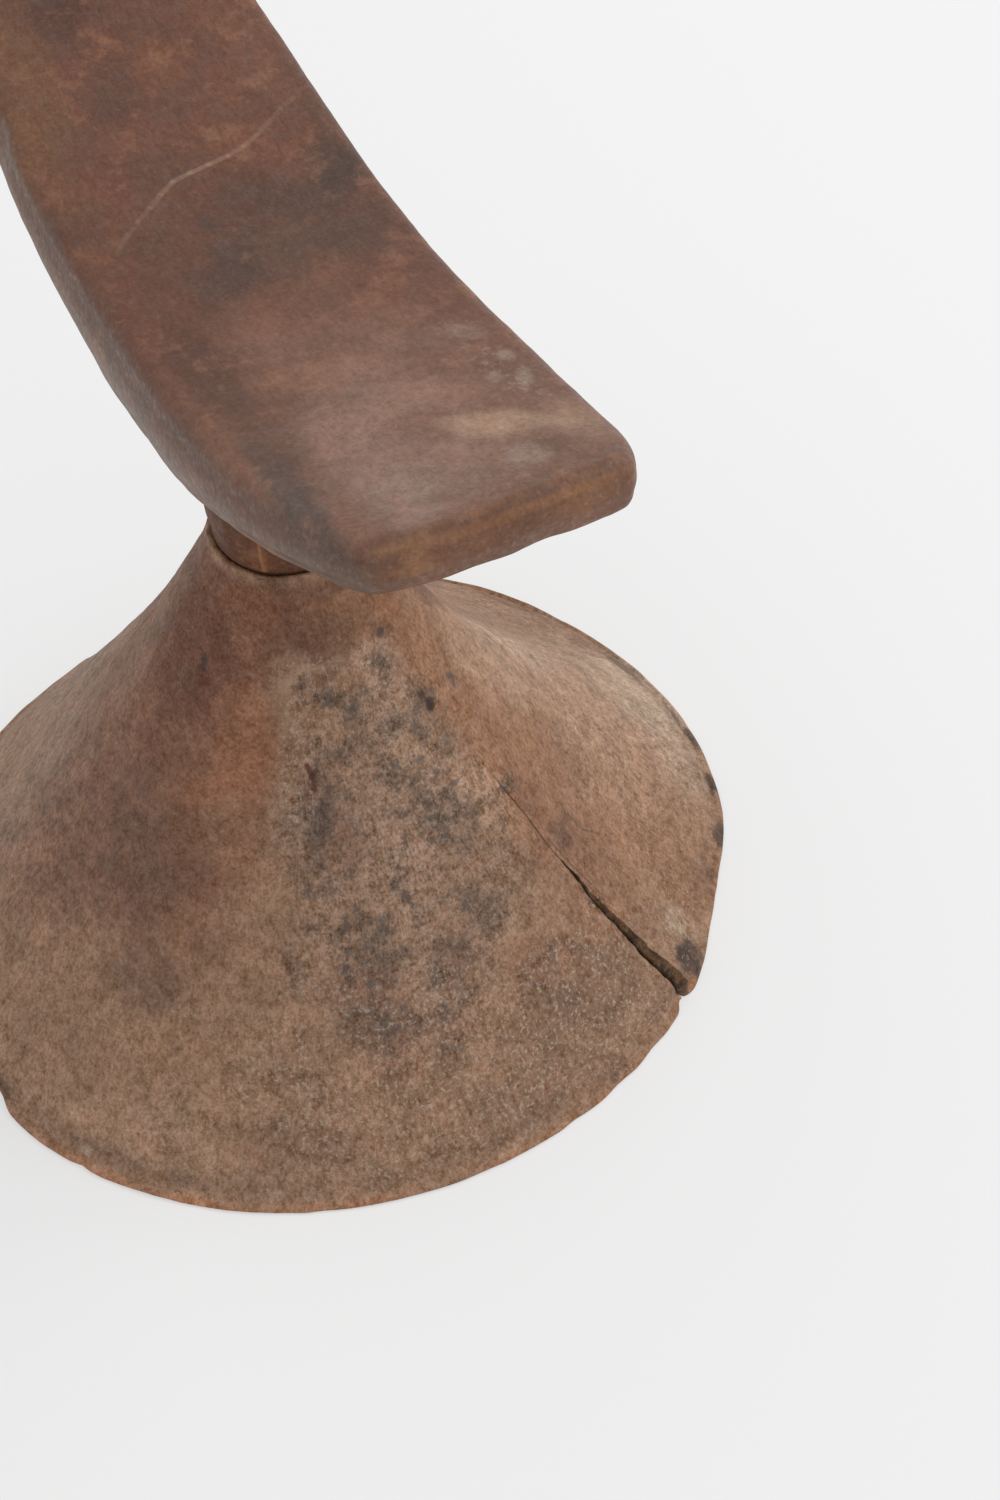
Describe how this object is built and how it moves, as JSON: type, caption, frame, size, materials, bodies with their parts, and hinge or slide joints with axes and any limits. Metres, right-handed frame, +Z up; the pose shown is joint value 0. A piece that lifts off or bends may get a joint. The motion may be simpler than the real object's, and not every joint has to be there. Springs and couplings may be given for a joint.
{
  "type": "carved wooden headrest",
  "caption": "Carved wooden headrest: a hollow flared cone base, a short round neck and a narrow head platform that curves up at both ends.",
  "frame": {"origin": "on the ground, under the middle of the base, which is also the middle of the whole object", "axes": "+Z up; +X along the head platform, towards the end that was pictured; +Y across the platform, towards the side with the split in the base"},
  "size_m": [0.154, 0.1612, 0.1655],
  "materials": {
    "base_wood": "worn and dusty with a dry matt patina, smoother and redder where it is handled",
    "neck_wood": "dark red-brown, hand-worn satin",
    "platform_wood": "red-brown burnished satin with dark blue-grey stains"
  },
  "bodies": {
    "root": {"base": "base_wood", "neck": "neck_wood", "head_platform": "platform_wood"}
  },
  "joints": []
}
